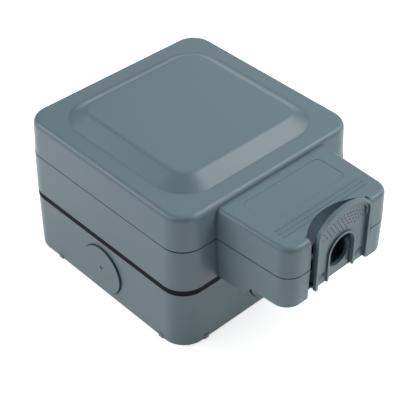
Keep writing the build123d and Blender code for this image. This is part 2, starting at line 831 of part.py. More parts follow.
# Latch plate: its edge slopes away behind a raised rim, with a lower step along the top
with BuildPart() as latch:
    edge_inset = plate_thickness * tan(radians(plate_edge_slope))
    with BuildSketch(upright(plate_back_y)):
        plate_outline(edge_inset, plate_bottom_z + edge_inset)
    extrude(amount=plate_thickness, taper=-plate_edge_slope)
    with BuildSketch(upright(front_y)):
        plate_outline(0, plate_bottom_z)
        plate_outline(rim_width, plate_bottom_z - rim_width, mode=Mode.SUBTRACT)
    extrude(amount=rim_height)
    with BuildSketch(upright(front_y)):
        plate_outline(rim_width, rim_step_bottom_z)
        step_inset = rim_width + rim_step_width
        plate_outline(step_inset, rim_step_bottom_z - rim_step_width, mode=Mode.SUBTRACT)
    extrude(amount=rim_step_height)
    with BuildSketch(upright(front_y)):
        arch_outline(arch_rim_width, plate_bottom_z)
    extrude(amount=arch_rim_height)
    for side_sign in (-1, 1):
        # Flange behind the plate, deepest round its trunnion
        trunnion_start = plate_width / 2 - flange_inset - flange_thickness
        flange_base_z = trunnion_z - trunnion_radius
        with BuildSketch(lengthwise(side_sign * trunnion_start)):
            with BuildLine():
                Polyline(
                    (front_y, flange_base_z),
                    (plate_back_y + flange_depth, flange_base_z),
                    (plate_back_y + flange_depth, flange_taper_bottom_z),
                    (plate_back_y + flange_top_depth, flange_taper_top_z),
                    (plate_back_y + flange_top_depth, flange_top_z),
                    (front_y, flange_top_z),
                    close=True,
                )
            make_face()
        extrude(amount=side_sign * flange_thickness)
        with BuildSketch(lengthwise(side_sign * trunnion_start)):
            with Locations((trunnion_y, trunnion_z)):
                Circle(trunnion_radius)
        extrude(amount=side_sign * (opening_width / 2 + trunnion_grip - trunnion_start))
        # Ramped pocket at the foot of each leg
        pocket_x = side_sign * foot_pocket_centre_x - foot_pocket_width / 2
        with BuildSketch(lengthwise(pocket_x)):
            with BuildLine():
                Polyline(
                    (front_y - arch_rim_height, foot_pocket_top_z),
                    (front_y + foot_pocket_depth, foot_pocket_top_z),
                    (front_y, foot_pocket_top_z - foot_pocket_height),
                    (front_y - arch_rim_height, foot_pocket_top_z - foot_pocket_height),
                    close=True,
                )
            make_face()
        extrude(amount=foot_pocket_width, mode=Mode.SUBTRACT)
    with BuildSketch(upright(plate_back_y + flange_depth)):
        arch_outline(0, plate_bottom_z - overrun)
    extrude(amount=flange_depth + plate_thickness + rim_height, mode=Mode.SUBTRACT)
    # Grip dimples in staggered rows
    with BuildSketch(upright(front_y)):
        for row in range(dimple_rows):
            row_radius = dimple_first_radius - row * dimple_row_pitch
            for index in range(-dimple_row_half_count, dimple_row_half_count + 1):
                turn = (index + row % 2 / 2) * dimple_pitch / row_radius
                dimple_x = row_radius * sin(turn)
                dimple_z = dimple_centre_z + row_radius * cos(turn)
                in_field = hypot(dimple_x, dimple_z - dimple_field_centre_z) < dimple_field_radius
                if in_field and dimple_z > dimple_bottom_z:
                    with Locations((dimple_x, dimple_z)):
                        Circle(dimple_radius)
    extrude(amount=-dimple_depth, mode=Mode.SUBTRACT)
latch.part.label = "latch"

# Screws that hold the frame to the rear box, with their rubber washers
with BuildPart() as screw_seals:
    with BuildSketch(Plane.XY.offset(deck_top_z)):
        with Locations(*pillar_points):
            Circle(frame_screw_head_radius + hole_clearance)
            Circle(frame_screw_radius + thread_clearance, mode=Mode.SUBTRACT)
    extrude(amount=screw_seal_thickness)
screw_seals.part.label = "screw_seals"


def screw_heads(points, seat_z, radius, height, up=1):
    """Slotted pan heads on a list of points, added to the current part."""
    with BuildSketch(Plane.XY.offset(seat_z)) as head:
        with Locations(*points):
            Circle(radius)
    extrude(head.sketch, amount=up * height)
    with BuildSketch(Plane.XY.offset(seat_z + up * height)) as slot:
        with Locations(*points):
            Rectangle(2 * radius, slot_depth)
    extrude(slot.sketch, amount=-up * slot_depth, mode=Mode.SUBTRACT)


def screw_shanks(points, seat_z, radius, length):
    """Plain shanks below their heads, added to the current part."""
    with BuildSketch(Plane.XY.offset(seat_z)) as shank:
        with Locations(*points):
            Circle(radius)
    extrude(shank.sketch, amount=-length)


with BuildPart() as frame_screws:
    seat_z = deck_top_z + screw_seal_thickness
    screw_heads(pillar_points, seat_z, frame_screw_head_radius, frame_screw_head_height)
    screw_shanks(pillar_points, seat_z, frame_screw_radius, frame_screw_length)
frame_screws.part.label = "frame_screws"

# Flex clamp in the snout
with BuildPart() as flex_clamp:
    with BuildSketch(upright(clamp_y + clamp_width / 2)):
        with Locations((0, clamp_seat_z + clamp_thickness / 2)):
            Rectangle(clamp_length, clamp_thickness)
        with Locations((0, clamp_seat_z)):
            Circle(clamp_arch_radius + clamp_thickness)
            Circle(clamp_arch_radius, mode=Mode.SUBTRACT)
        with Locations((0, clamp_seat_z - clamp_length / 2)):
            Rectangle(clamp_length, clamp_length, mode=Mode.SUBTRACT)
    extrude(amount=clamp_width)
    with BuildSketch(Plane.XY.offset(clamp_seat_z)):
        with Locations(*clamp_points):
            Circle(clamp_screw_radius + hole_clearance)
    extrude(amount=clamp_thickness, mode=Mode.SUBTRACT)
flex_clamp.part.label = "flex_clamp"

with BuildPart() as flex_clamp_screws:
    clamp_top_z = clamp_seat_z + clamp_thickness
    screw_heads(clamp_points, clamp_top_z, clamp_screw_head_radius, clamp_screw_head_height)
    screw_shanks(clamp_points, clamp_top_z, clamp_screw_radius, clamp_screw_length)
flex_clamp_screws.part.label = "flex_clamp_screws"

# Gasket under the faceplate
with BuildPart() as module_gasket:
    with BuildSketch(Plane.XY.offset(deck_top_z)):
        RectangleRounded(faceplate_width, faceplate_height, faceplate_corner_radius)
        RectangleRounded(
            module_width + 2 * module_clearance,
            module_height + 2 * module_clearance,
            module_corner_radius + module_clearance,
            mode=Mode.SUBTRACT,
        )
        with Locations(*module_screw_points):
            Circle(module_screw_radius + hole_clearance, mode=Mode.SUBTRACT)
    extrude(amount=module_gasket_thickness)
module_gasket.part.label = "module_gasket"

# Faceplate of the wiring module
with BuildPart() as module_faceplate:
    with BuildSketch(Plane.XY.offset(face_base_z)):
        RectangleRounded(faceplate_width, faceplate_height, faceplate_corner_radius)
    extrude(amount=faceplate_thickness)
    fillet(module_faceplate.faces().sort_by(Axis.Z)[-1].edges(), faceplate_edge_fillet)
    with BuildSketch(Plane.XY.offset(face_base_z)):
        with Locations(*housing_screw_points):
            Circle(housing_post_radius)
            Circle(housing_screw_radius + thread_clearance, mode=Mode.SUBTRACT)
        lug_offset = rocker_width / 2 + rocker_clearance + rocker_pivot_length / 2
        with Locations((rocker_x - lug_offset, 0), (rocker_x + lug_offset, 0)):
            Rectangle(rocker_pivot_length, rocker_lug_length)
    extrude(amount=-housing_post_length)
    with BuildSketch(lengthwise(rocker_x)):
        with Locations((0, face_base_z - housing_post_length / 2 - rocker_lug_height / 2)):
            Rectangle(rocker_lug_length, housing_post_length - rocker_lug_height)
    extrude(amount=lug_offset + rocker_pivot_length, both=True, mode=Mode.SUBTRACT)
    with BuildSketch(Plane.XY.offset(face_base_z)):
        with Locations((rocker_x, 0)):
            swing = rocker_swing_radius + rocker_clearance
            Rectangle(rocker_width + 2 * rocker_clearance, 2 * swing)
        with Locations((fuse_x, 0)):
            Rectangle(carrier_width + 2 * carrier_clearance, carrier_height + 2 * carrier_clearance)
        with Locations((neon_x, neon_y)):
            Circle(neon_radius + thread_clearance)
        with Locations(*module_screw_points):
            Circle(module_screw_radius + hole_clearance)
    extrude(amount=faceplate_thickness, mode=Mode.SUBTRACT)
    with BuildSketch(Plane.XY.offset(face_top_z)):
        with Locations(*module_screw_points):
            Circle(module_screw_head_radius + hole_clearance)
    extrude(amount=-module_screw_head_height, mode=Mode.SUBTRACT)
    with BuildSketch(lengthwise(rocker_x)):
        with Locations((0, rocker_axis_z)):
            Circle(rocker_pivot_radius + pin_clearance)
    pivot_reach = rocker_width / 2 + rocker_clearance + rocker_pivot_length
    extrude(amount=pivot_reach, both=True, mode=Mode.SUBTRACT)
module_faceplate.part.label = "module_faceplate"

with BuildPart() as module_screws:
    seat_z = face_top_z - module_screw_head_height
    head_height = module_screw_head_height
    screw_heads(module_screw_points, seat_z, module_screw_head_radius, head_height)
    screw_shanks(module_screw_points, seat_z, module_screw_radius, module_screw_length)
module_screws.part.label = "module_screws"

# Moulded housing: terminals below its middle floor, switch and fuse above
with BuildPart() as module_housing:
    with BuildSketch(Plane.XY.offset(module_base_z)):
        RectangleRounded(module_width, module_height, module_corner_radius)
    extrude(amount=module_depth)
    with BuildSketch(Plane.XY.offset(middle_floor_z)):
        RectangleRounded(
            module_width - 2 * module_wall,
            module_height - 2 * module_wall,
            module_corner_radius - module_wall,
        )
        with Locations(*housing_screw_points):
            Circle(housing_post_radius, mode=Mode.SUBTRACT)
    extrude(amount=middle_floor_drop, mode=Mode.SUBTRACT)
    with BuildSketch(Plane.XY.offset(face_base_z)):
        with Locations(*housing_screw_points):
            Circle(housing_post_radius)
    extrude(amount=-housing_post_length, mode=Mode.SUBTRACT)
    with BuildSketch(Plane.XY.offset(module_base_z)):
        Rectangle(core_width, core_height)
        with Locations(*terminal_points):
            Rectangle(
                terminal_width + 2 * terminal_clearance, terminal_depth + 2 * terminal_clearance
            )
    extrude(amount=middle_ceiling_z - module_base_z, mode=Mode.SUBTRACT)
    with BuildSketch(Plane.XY.offset(middle_floor_z)):
        with Locations(*housing_screw_points):
            Circle(housing_screw_radius + hole_clearance)
    extrude(amount=-middle_floor_thickness, mode=Mode.SUBTRACT)
    with BuildSketch(Plane.XY.offset(middle_floor_z)):
        with Locations(*housing_screw_points):
            Circle(housing_screw_radius + hole_clearance)
    extrude(amount=middle_floor_drop, mode=Mode.SUBTRACT)
    with BuildSketch(upright(module_height / 2)):
        with Locations(*[(x, wire_z) for x in (neutral_x, live_x, earth_x)]):
            Circle(wire_entry_radius)
    extrude(amount=module_height, mode=Mode.SUBTRACT)
module_housing.part.label = "module_housing"

with BuildPart() as housing_screws:
    with BuildSketch(Plane.XY.offset(middle_ceiling_z)):
        with Locations(*housing_screw_points):
            Circle(housing_screw_radius)
    extrude(amount=housing_screw_length)
    head_radius, head_height = housing_screw_head_radius, housing_screw_head_height
    screw_heads(housing_screw_points, middle_ceiling_z, head_radius, head_height, up=-1)
housing_screws.part.label = "housing_screws"

# Rocker, stored in its off position. Its own plane leans with it about the pivot.
lean_y, lean_z = sin(radians(rocker_tilt)), cos(radians(rocker_tilt))
rocker_origin = (rocker_x, 0, rocker_axis_z)
rocker_up = Plane(origin=rocker_origin, x_dir=(1, 0, 0), z_dir=(0, lean_y, lean_z))
rocker_side = Plane(origin=rocker_origin, x_dir=(0, lean_z, -lean_y), z_dir=(1, 0, 0))
guide_points = [(-pole_spacing / 2, 0), (pole_spacing / 2, 0)]

with BuildPart() as switch_rocker:
    with BuildSketch(rocker_side):
        Circle(rocker_swing_radius)
        with Locations((0, (rocker_top - rocker_skirt) / 2)):
            Rectangle(
                2 * rocker_swing_radius, rocker_top + rocker_skirt, mode=Mode.INTERSECT
            )
        with Locations((0, rocker_top + rocker_dish_radius - rocker_dish_depth)):
            Circle(rocker_dish_radius, mode=Mode.SUBTRACT)
    extrude(amount=rocker_width / 2, both=True)
    with BuildSketch(rocker_side):
        Circle(rocker_pivot_radius)
    extrude(amount=rocker_width / 2 + rocker_pivot_length, both=True)
    with BuildSketch(rocker_up.offset(rocker_top - rocker_roof - rocker_dish_depth)):
        Rectangle(
            rocker_width - 2 * rocker_shell, 2 * (rocker_swing_radius - rocker_roof - rocker_shell)
        )
        with Locations(*guide_points):
            Circle(plunger_radius + thread_clearance + guide_wall, mode=Mode.SUBTRACT)
    extrude(amount=-rocker_top - rocker_skirt, mode=Mode.SUBTRACT)
    with BuildSketch(rocker_up.offset(-rocker_skirt)):
        with Locations(*guide_points):
            Circle(plunger_radius + thread_clearance + guide_wall)
    extrude(amount=rocker_skirt - guide_length)
    with BuildSketch(rocker_up.offset(-guide_length)):
        with Locations(*guide_points):
            Circle(plunger_radius + thread_clearance)
    extrude(amount=guide_length + rocker_top - rocker_roof - rocker_dish_depth, mode=Mode.SUBTRACT)
switch_rocker.part.label = "switch_rocker"

with BuildPart() as switch_plungers:
    with BuildSketch(rocker_up.offset(-plunger_shoulder)):
        with Locations(*guide_points):
            Circle(plunger_radius)
    extrude(amount=plunger_shoulder - plunger_top)
    with BuildSketch(rocker_up.offset(-plunger_reach)):
        with Locations(*guide_points):
            Circle(plunger_nose_radius)
    extrude(amount=plunger_reach - plunger_shoulder)
switch_plungers.part.label = "switch_plungers"

with BuildPart() as plunger_springs:
    spring_length = plunger_top + rocker_top - rocker_roof - rocker_dish_depth
    wire_inset = spring_wire_radius + thread_clearance
    for guide_x, guide_y in guide_points:
        base = rocker_up.offset(-plunger_top + wire_inset)
        seat = base.from_local_coords((guide_x, guide_y, 0))
        coil = Helix(
            pitch=(spring_length - 2 * wire_inset) / spring_turns,
            height=spring_length - 2 * wire_inset,
            radius=spring_radius,
            center=seat,
            direction=rocker_up.z_dir,
        )
        with BuildSketch(Plane(origin=coil @ 0, z_dir=coil % 0)):
            Circle(spring_wire_radius)
        sweep(path=coil, is_frenet=True)
plunger_springs.part.label = "plunger_springs"

# Seesaw contacts under the plungers, leaning the other way
bridge_side = Plane(
    origin=(0, 0, bridge_axis_z), x_dir=(0, lean_z, lean_y), z_dir=(1, 0, 0)
)
with BuildPart() as contact_bridges:
    for pole_x in pole_points:
        with BuildSketch(bridge_side.offset(pole_x)):
            Rectangle(bridge_length, bridge_thickness)
            with Locations((contact_tip_y, -(bridge_thickness + contact_tip_height) / 2)):
                Rectangle(2 * contact_tip_radius, contact_tip_height)
        extrude(amount=bridge_width / 2, both=True)
contact_bridges.part.label = "contact_bridges"

# Fixed contacts on the supply side, each with a strip that runs down to its terminal
closed_tip_z = bridge_axis_z - contact_tip_y * lean_y
closed_tip_z -= (bridge_thickness / 2 + contact_tip_height) * lean_z + contact_tip_radius * lean_y
leg_y = terminal_y - terminal_depth / 4
leg_height = strip_top_z - terminal_top_z


def strip(points, half=bridge_width / 2):
    """Flat strip on the middle floor through the given rectangles' corners."""
    with BuildSketch(Plane.XY.offset(middle_floor_z)) as flat:
        for (x0, y0), (x1, y1) in points:
            with Locations(((x0 + x1) / 2, (y0 + y1) / 2)):
                Rectangle(abs(x1 - x0) + 2 * half, abs(y1 - y0) + 2 * half)
    extrude(flat.sketch, amount=strip_thickness)


def strip_leg(x, y):
    """Leg from a strip through the middle floor to the terminal below."""
    with BuildSketch(Plane.XY.offset(terminal_top_z)) as leg:
        with Locations((x, y)):
            Rectangle(bridge_width, strip_thickness)
    extrude(leg.sketch, amount=leg_height)


neutral_pole_x, live_pole_x = pole_points
neutral_leg_x = neutral_x
live_leg_x = live_x - terminal_width / 2 + bridge_width / 2
with BuildPart() as supply_contacts:
    strip([((neutral_pole_x, contact_tip_y), (neutral_pole_x, leg_y))])
    strip([((neutral_pole_x, leg_y), (neutral_leg_x, leg_y))])
    strip_leg(neutral_leg_x, leg_y)
    strip([((live_pole_x, contact_tip_y), (live_pole_x, leg_y))])
    strip([((live_pole_x, leg_y), (live_leg_x, leg_y))])
    strip_leg(live_leg_x, leg_y)
    with BuildSketch(Plane.XY.offset(middle_floor_z)):
        with Locations(*[(x, contact_tip_y) for x in pole_points]):
            Circle(contact_tip_radius)
    extrude(amount=closed_tip_z - contact_gap - middle_floor_z)
supply_contacts.part.label = "supply_contacts"

# Contacts that the seesaws rock on; the live one leads to the fuse
pivot_top_z = bridge_axis_z - bridge_thickness / 2 - contact_gap
with BuildPart() as pivot_contacts:
    strip([((neutral_pole_x, 0), (neutral_pole_x, -leg_y))])
    strip([((neutral_pole_x, -leg_y), (neutral_leg_x, -leg_y))])
    strip_leg(neutral_leg_x, -leg_y)
    strip([((live_pole_x, 0), (fuse_x, 0))])
    strip([((fuse_x, 0), (fuse_x, clip_y - clip_width / 2 - bridge_width / 2))])
    for pole_x in pole_points:
        with BuildSketch(lengthwise(pole_x)):
            with BuildLine():
                Polyline(
                    (-bridge_width / 2, middle_floor_z),
                    (bridge_width / 2, middle_floor_z),
                    (0, pivot_top_z),
                    close=True,
                )
            make_face()
        extrude(amount=bridge_width / 2, both=True)
pivot_contacts.part.label = "pivot_contacts"

# Fuse clips; the one on the load side has a tail to its terminal
with BuildPart() as fuse_clips:
    for clip_sign in (-1, 1):
        with BuildSketch(upright(clip_sign * clip_y + clip_width / 2)):
            with Locations((fuse_x, middle_floor_z + clip_height / 2)):
                Rectangle(2 * (clip_gap + clip_thickness), clip_height)
            with Locations((fuse_x, middle_floor_z + clip_height / 2 + clip_thickness)):
                Rectangle(2 * clip_gap, clip_height, mode=Mode.SUBTRACT)
        extrude(amount=clip_width)
    tail_x = live_x + terminal_width / 2 - bridge_width / 2
    strip([((fuse_x, -clip_y - clip_width / 2), (fuse_x, -leg_y))])
    strip([((tail_x, -leg_y), (fuse_x, -leg_y))])
    strip_leg(tail_x, -leg_y)
    with BuildSketch(Plane.XY.offset(middle_floor_z + clip_thickness)):
        with Locations((fuse_x, -clip_y)):
            Rectangle(2 * clip_gap, clip_width)
    extrude(amount=strip_thickness, mode=Mode.SUBTRACT)
fuse_clips.part.label = "fuse_clips"

earth_leg_x = earth_x + terminal_width / 2 - bridge_width / 2
earth_run_x = module_width / 2 - module_wall - bridge_width / 2 - hole_clearance
with BuildPart() as earth_link:
    strip([((earth_run_x, -leg_y), (earth_run_x, leg_y))])
    for end_sign in (-1, 1):
        strip([((earth_leg_x, end_sign * leg_y), (earth_run_x, end_sign * leg_y))])
        strip_leg(earth_leg_x, end_sign * leg_y)
earth_link.part.label = "earth_link"

# The legs' slots through the middle floor of the housing
leg_points = [
    (neutral_leg_x, leg_y),
    (live_leg_x, leg_y),
    (neutral_leg_x, -leg_y),
    (tail_x, -leg_y),
    (earth_leg_x, leg_y),
    (earth_leg_x, -leg_y),
]
with module_housing:
    with BuildSketch(Plane.XY.offset(middle_floor_z)):
        with Locations(*leg_points):
            Rectangle(bridge_width + 2 * thread_clearance, strip_thickness + 2 * thread_clearance)
    extrude(amount=-middle_floor_thickness, mode=Mode.SUBTRACT)
module_housing.part.label = "module_housing"

# Pull-out fuse carrier
with BuildPart() as fuse_carrier:
    with BuildSketch(Plane.XY.offset(carrier_floor_z)):
        with Locations((fuse_x, 0)):
            Rectangle(carrier_width, carrier_height)
    extrude(amount=face_top_z + carrier_seat_gap - carrier_floor_z)
    with BuildSketch(Plane.XY.offset(face_top_z + carrier_seat_gap)):
        with Locations((fuse_x, 0)):
            RectangleRounded(carrier_flange_width, carrier_flange_height, carrier_corner_radius)
    extrude(amount=carrier_flange_thickness)
    fillet(fuse_carrier.faces().sort_by(Axis.Z)[-1].edges(), carrier_edge_fillet)
    cradle_radius = fuse_radius + fuse_clearance
    with BuildSketch(upright(fuse_length / 2 + fuse_clearance)):
        with Locations((fuse_x, fuse_z)):
            Circle(cradle_radius)
        with Locations((fuse_x, fuse_z - fuse_radius)):
            Rectangle(2 * cradle_radius, 2 * fuse_radius)
    extrude(amount=fuse_length + 2 * fuse_clearance, mode=Mode.SUBTRACT)
    relief_top_z = middle_floor_z + clip_height + clip_relief
    for clip_sign in (-1, 1):
        with BuildSketch(Plane.XY.offset(carrier_floor_z)):
            with Locations((fuse_x, clip_sign * clip_y)):
                Rectangle(
                    2 * (clip_gap + clip_thickness + clip_relief), clip_width + 2 * clip_relief
                )
        extrude(amount=relief_top_z - carrier_floor_z, mode=Mode.SUBTRACT)
    # Notch for a screwdriver at the outer end
    with BuildSketch(Plane.XY.offset(face_top_z + carrier_seat_gap)):
        with Locations((fuse_x, -carrier_flange_height / 2)):
            Rectangle(carrier_notch_width, 2 * carrier_notch_depth)
    extrude(amount=carrier_flange_thickness / 2, mode=Mode.SUBTRACT)
fuse_carrier.part.label = "fuse_carrier"

with BuildPart() as fuse_tube:
    with BuildSketch(upright(fuse_length / 2 - fuse_cap_thickness)):
        with Locations((fuse_x, fuse_z)):
            Circle(fuse_radius - fuse_cap_thickness)
    extrude(amount=fuse_length - 2 * fuse_cap_thickness)
    with BuildSketch(upright(fuse_length / 2 - fuse_cap_length)):
        with Locations((fuse_x, fuse_z)):
            Circle(fuse_radius)
    extrude(amount=fuse_length - 2 * fuse_cap_length)
fuse_tube.part.label = "fuse_tube"

with BuildPart() as fuse_caps:
    for cap_start in (fuse_length / 2, fuse_cap_length - fuse_length / 2):
        with BuildSketch(upright(cap_start)):
            with Locations((fuse_x, fuse_z)):
                Circle(fuse_radius)
        extrude(amount=fuse_cap_length)
    with BuildSketch(upright(fuse_length / 2 - fuse_cap_thickness)):
        with Locations((fuse_x, fuse_z)):
            Circle(fuse_radius - fuse_cap_thickness)
    extrude(amount=fuse_length - 2 * fuse_cap_thickness, mode=Mode.SUBTRACT)
fuse_caps.part.label = "fuse_caps"

# Neon
with BuildPart() as neon_lens:
    with BuildSketch(Plane.XY.offset(face_base_z - neon_flange)):
        with Locations((neon_x, neon_y)):
            Circle(neon_radius + neon_flange)
    extrude(amount=neon_flange)
    with BuildSketch(Plane.XY.offset(face_base_z)):
        with Locations((neon_x, neon_y)):
            Circle(neon_radius)
    extrude(amount=faceplate_thickness + neon_proud)
    fillet(neon_lens.faces().sort_by(Axis.Z)[-1].edges(), neon_edge_fillet)
neon_lens.part.label = "neon_lens"

with BuildPart() as neon_lamp:
    lamp_top_z = face_base_z - neon_flange - 2 * hole_clearance
    with BuildSketch(Plane.XY.offset(strip_top_z)):
        with Locations((neon_x, neon_y)):
            Circle(neon_lamp_radius)
    extrude(amount=lamp_top_z - strip_top_z)
    fillet(neon_lamp.faces().sort_by(Axis.Z)[-1].edges(), neon_lamp_radius / 2)
neon_lamp.part.label = "neon_lamp"


def terminal_blocks(points, top_z, bore_z):
    """Brass blocks with a wire bore along Y and a screw hole from one face."""
    with BuildSketch(Plane.XY.offset(top_z)) as block:
        with Locations(*points):
            Rectangle(terminal_width, terminal_depth)
    extrude(block.sketch, amount=-terminal_height)
    reach = terminal_y + terminal_depth
    with BuildSketch(upright(reach)) as bore:
        with Locations(*sorted({(x, bore_z) for x, y in points})):
            Circle(terminal_bore_radius)
    extrude(bore.sketch, amount=2 * reach, mode=Mode.SUBTRACT)
    with BuildSketch(Plane.XY.offset(bore_z)) as screw_hole:
        with Locations(*points):
            Circle(terminal_screw_radius + thread_clearance)
    hole_length = bore_z - top_z + terminal_height
    extrude(screw_hole.sketch, amount=-hole_length, mode=Mode.SUBTRACT)


with BuildPart() as supply_terminals:
    terminal_blocks(supply_points, terminal_top_z, wire_z)
supply_terminals.part.label = "supply_terminals"

with BuildPart() as load_terminals:
    terminal_blocks(load_points, terminal_top_z, wire_z)
load_terminals.part.label = "load_terminals"

with BuildPart() as earth_terminals:
    terminal_blocks(earth_points, terminal_top_z, wire_z)
earth_terminals.part.label = "earth_terminals"

with BuildPart() as terminal_screws:
    with BuildSketch(Plane.XY.offset(terminal_base_z)):
        with Locations(*terminal_points):
            Circle(terminal_screw_radius)
    extrude(amount=terminal_height - wire_bore_drop - terminal_bore_radius)
    head_radius, head_height = terminal_screw_head_radius, terminal_screw_head_height
    screw_heads(terminal_points, terminal_base_z, head_radius, head_height, up=-1)
terminal_screws.part.label = "terminal_screws"

# Earth terminal on its plinth in the rear box
box_earth_base_z = box_floor_top_z + box_earth_plinth
box_earth_top_z = box_earth_base_z + terminal_height
with BuildPart() as box_earth_terminal:
    with BuildSketch(Plane.XY.offset(box_earth_base_z)):
        with Locations((0, box_earth_y)):
            Rectangle(terminal_width, terminal_depth)
    extrude(amount=terminal_height)
    with BuildSketch(lengthwise(-terminal_width)):
        with Locations((box_earth_y, box_earth_base_z + wire_bore_drop)):
            Circle(terminal_bore_radius)
    extrude(amount=2 * terminal_width, mode=Mode.SUBTRACT)
    with BuildSketch(Plane.XY.offset(box_earth_top_z)):
        with Locations((0, box_earth_y)):
            Circle(terminal_screw_radius + thread_clearance)
    extrude(amount=wire_bore_drop - terminal_height, mode=Mode.SUBTRACT)
box_earth_terminal.part.label = "box_earth_terminal"

with BuildPart() as box_earth_screw:
    earth_screw_points = [(0, box_earth_y)]
    shank = terminal_height - wire_bore_drop - terminal_bore_radius
    screw_heads(earth_screw_points, box_earth_top_z, head_radius, head_height)
    screw_shanks(earth_screw_points, box_earth_top_z, terminal_screw_radius, shank)
box_earth_screw.part.label = "box_earth_screw"

pieces = [
    rear_box, box_gasket, front_frame, screw_seals, frame_screws, hinge_pins, lid, lid_seal,
    latch, flex_clamp, flex_clamp_screws, module_gasket, module_faceplate, module_screws,
    module_housing, housing_screws, switch_rocker, switch_plungers, plunger_springs,
    contact_bridges, supply_contacts, pivot_contacts, fuse_clips, earth_link, fuse_carrier,
    fuse_tube, fuse_caps, neon_lens, neon_lamp, supply_terminals, load_terminals,
    earth_terminals, terminal_screws, box_earth_terminal, box_earth_screw,
]
for piece in pieces:
    export_step(piece.part, f"parts/{piece.part.label}.step")
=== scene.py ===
# %% [markdown]
# # Dressing a weatherproof fused spur
#
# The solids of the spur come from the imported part: a rear box, a front frame with a snout
# for the flexible cord, a hinged lid, a latch plate and the switch module under the lid.
# This lesson gives them their finishes, shapes three of them more closely than a solid
# model does, and lights them as in the photograph. Everything is in metres.

import math

import bmesh
import bpy
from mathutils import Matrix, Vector


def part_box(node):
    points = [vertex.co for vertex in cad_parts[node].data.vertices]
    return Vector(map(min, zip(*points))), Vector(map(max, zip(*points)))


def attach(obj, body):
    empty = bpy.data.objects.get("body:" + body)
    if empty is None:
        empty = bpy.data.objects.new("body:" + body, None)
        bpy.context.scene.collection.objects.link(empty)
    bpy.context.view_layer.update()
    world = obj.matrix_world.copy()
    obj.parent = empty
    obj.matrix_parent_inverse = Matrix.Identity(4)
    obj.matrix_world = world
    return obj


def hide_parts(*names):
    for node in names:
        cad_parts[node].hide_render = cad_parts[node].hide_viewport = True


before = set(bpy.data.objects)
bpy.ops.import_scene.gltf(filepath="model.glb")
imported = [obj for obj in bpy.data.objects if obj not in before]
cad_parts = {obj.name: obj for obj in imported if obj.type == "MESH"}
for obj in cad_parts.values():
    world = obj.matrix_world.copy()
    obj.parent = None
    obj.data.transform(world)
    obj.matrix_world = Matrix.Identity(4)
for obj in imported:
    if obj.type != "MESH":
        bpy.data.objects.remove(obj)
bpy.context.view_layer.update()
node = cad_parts

# %% [markdown]
# The photograph looks down on the spur as it lies on its back, with the snout towards us.
# A long lens keeps the upright edges almost parallel. We place the camera by the point it
# looks at, its two angles and its distance, because those are easy to picture, and the
# small shift puts the spur where the photograph has it in the frame.

# %% Camera
aim_point = Vector((0.0, -0.010, 0.030))
view_azimuth = math.radians(-43.26)
view_elevation = math.radians(39.47)
view_distance = 0.47558
lens_length = 106.8
sensor_width = 36.0
shift_right = -0.0151
shift_up = -0.0115

camera_data = bpy.data.cameras.new("photo camera")
camera_data.sensor_width = sensor_width
camera_data.lens = lens_length
camera_data.shift_x = shift_right
camera_data.shift_y = shift_up
camera = bpy.data.objects.new("photo camera", camera_data)
bpy.context.scene.collection.objects.link(camera)

towards_camera = Vector(
    (
        math.cos(view_elevation) * math.sin(view_azimuth),
        -math.cos(view_elevation) * math.cos(view_azimuth),
        math.sin(view_elevation),
    )
)
camera.location = aim_point + view_distance * towards_camera
camera.rotation_euler = towards_camera.to_track_quat("Z", "Y").to_euler()
bpy.context.scene.camera = camera
print("camera at", [round(value, 4) for value in camera.location])

# %% [markdown]
# The spur lies on a plain floor. One square is enough for it, and it is wide, so that its
# edge is far away from every view.

# %% Floor
floor_half = 3.0

floor_form = bmesh.new()
bmesh.ops.create_grid(floor_form, x_segments=1, y_segments=1, size=floor_half)
floor_mesh = bpy.data.meshes.new("floor")
floor_form.to_mesh(floor_mesh)
floor_form.free()
floor = bpy.data.objects.new("floor", floor_mesh)
bpy.context.scene.collection.objects.link(floor)
print("floor:", 2 * floor_half, "m wide")

# %% [markdown]
# The background of the photograph is plain white. The floor catches the shadow of the
# spur, and a little of its own light lifts it to white for the camera and for
# reflections, without throwing more light on the spur. The lamps fade with distance, so
# far from the spur the floor glows more and stays white right up to the horizon.

# %% Finish of the floor
floor_colour = (0.82, 0.82, 0.82, 1.0)
white = (1.0, 1.0, 1.0, 1.0)
near_glow = 0.70
far_glow = 1.0
glow_starts = 0.30
glow_ends = 0.90

floor_finish = bpy.data.materials.new("white floor")
floor_finish.use_nodes = True
tree = floor_finish.node_tree
tree.nodes.clear()
matt = tree.nodes.new("ShaderNodeBsdfDiffuse")
matt.inputs["Color"].default_value = floor_colour
glow = tree.nodes.new("ShaderNodeEmission")
glow.inputs["Color"].default_value = white

ray = tree.nodes.new("ShaderNodeLightPath")
seen_or_mirrored = tree.nodes.new("ShaderNodeMath")
seen_or_mirrored.operation = "MAXIMUM"
tree.links.new(ray.outputs["Is Camera Ray"], seen_or_mirrored.inputs[0])
tree.links.new(ray.outputs["Is Glossy Ray"], seen_or_mirrored.inputs[1])
seen_through = tree.nodes.new("ShaderNodeMath")
seen_through.operation = "MAXIMUM"
tree.links.new(seen_or_mirrored.outputs[0], seen_through.inputs[0])
tree.links.new(ray.outputs["Is Transmission Ray"], seen_through.inputs[1])

